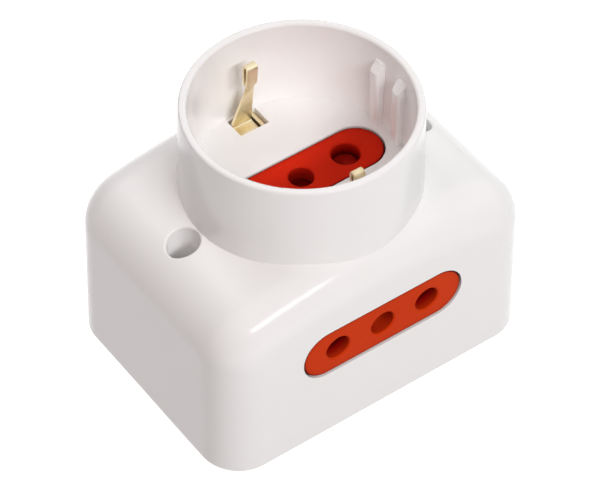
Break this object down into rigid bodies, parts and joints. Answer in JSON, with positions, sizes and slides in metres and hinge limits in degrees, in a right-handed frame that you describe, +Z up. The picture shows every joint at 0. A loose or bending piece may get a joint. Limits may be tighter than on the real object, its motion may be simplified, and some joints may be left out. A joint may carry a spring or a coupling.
{
  "type": "multi socket adapter",
  "caption": "White plug-in socket adapter with a round earthed well on top, a red three-hole socket in each long side and a three-pin plug below.",
  "frame": {"origin": "middle of the plug face, on the axis of the earth pin", "axes": "+X along the row of pins, -Y towards the front side socket, +Z up the round well, away from the wall"},
  "size_m": [0.066, 0.0492, 0.0726],
  "materials": {
    "white_shell": "polished moulded white urea or ABS, very slightly warm",
    "white_cover": "moulded white, slightly less glossy",
    "red_insert": "satin gloss moulded orange-red",
    "red_shutter": "satin moulded red",
    "red_guide": "satin moulded red",
    "spring_steel": "drawn spring wire",
    "contact_brass": "rolled and folded brass strip",
    "bar_brass": "rolled and folded brass strip, bright",
    "pin_brass": "turned brass, bright",
    "pin_sleeve": "moulded dark grey nylon",
    "screw_steel": "zinc plated steel"
  },
  "bodies": {
    "case": {"housing": "white_shell", "base_cover": "white_cover", "front_socket_insert": "red_insert", "rear_socket_insert": "red_insert", "top_socket_insert": "red_insert", "front_guide_plate": "red_guide", "rear_guide_plate": "red_guide", "top_guide_plate": "red_guide", "front_shutter_spring": "spring_steel", "rear_shutter_spring": "spring_steel", "top_shutter_spring": "spring_steel", "front_line_contact": "contact_brass", "front_earth_contact": "contact_brass", "front_neutral_contact": "contact_brass", "rear_line_contact": "contact_brass", "rear_earth_contact": "contact_brass", "rear_neutral_contact": "contact_brass", "top_line_contact": "contact_brass", "top_earth_contact": "contact_brass", "top_neutral_contact": "contact_brass", "line_bar": "bar_brass", "neutral_bar": "bar_brass", "earth_bracket": "bar_brass", "line_pin": "pin_brass", "earth_pin": "pin_brass", "neutral_pin": "pin_brass", "line_pin_sleeve": "pin_sleeve", "neutral_pin_sleeve": "pin_sleeve", "case_screws": "screw_steel"},
    "front_shutter": {"front_shutter": "red_shutter"},
    "rear_shutter": {"rear_shutter": "red_shutter"},
    "top_shutter": {"top_shutter": "red_shutter"}
  },
  "joints": [
    {"name": "front_shutter_slide", "type": "slide", "parent": "case", "child": "front_shutter", "axis": [1, 0, 0], "range_m": [0, 0.0049], "stiffness_N_per_m": 60, "springref_m": -0.002, "deforming": ["front_shutter_spring"]},
    {"name": "rear_shutter_slide", "type": "slide", "parent": "case", "child": "rear_shutter", "axis": [-1, 0, 0], "range_m": [0, 0.0049], "stiffness_N_per_m": 60, "springref_m": -0.002, "deforming": ["rear_shutter_spring"]},
    {"name": "top_shutter_slide", "type": "slide", "parent": "case", "child": "top_shutter", "axis": [1, 0, 0], "range_m": [0, 0.0049], "stiffness_N_per_m": 60, "springref_m": -0.002, "deforming": ["top_shutter_spring"]}
  ]
}
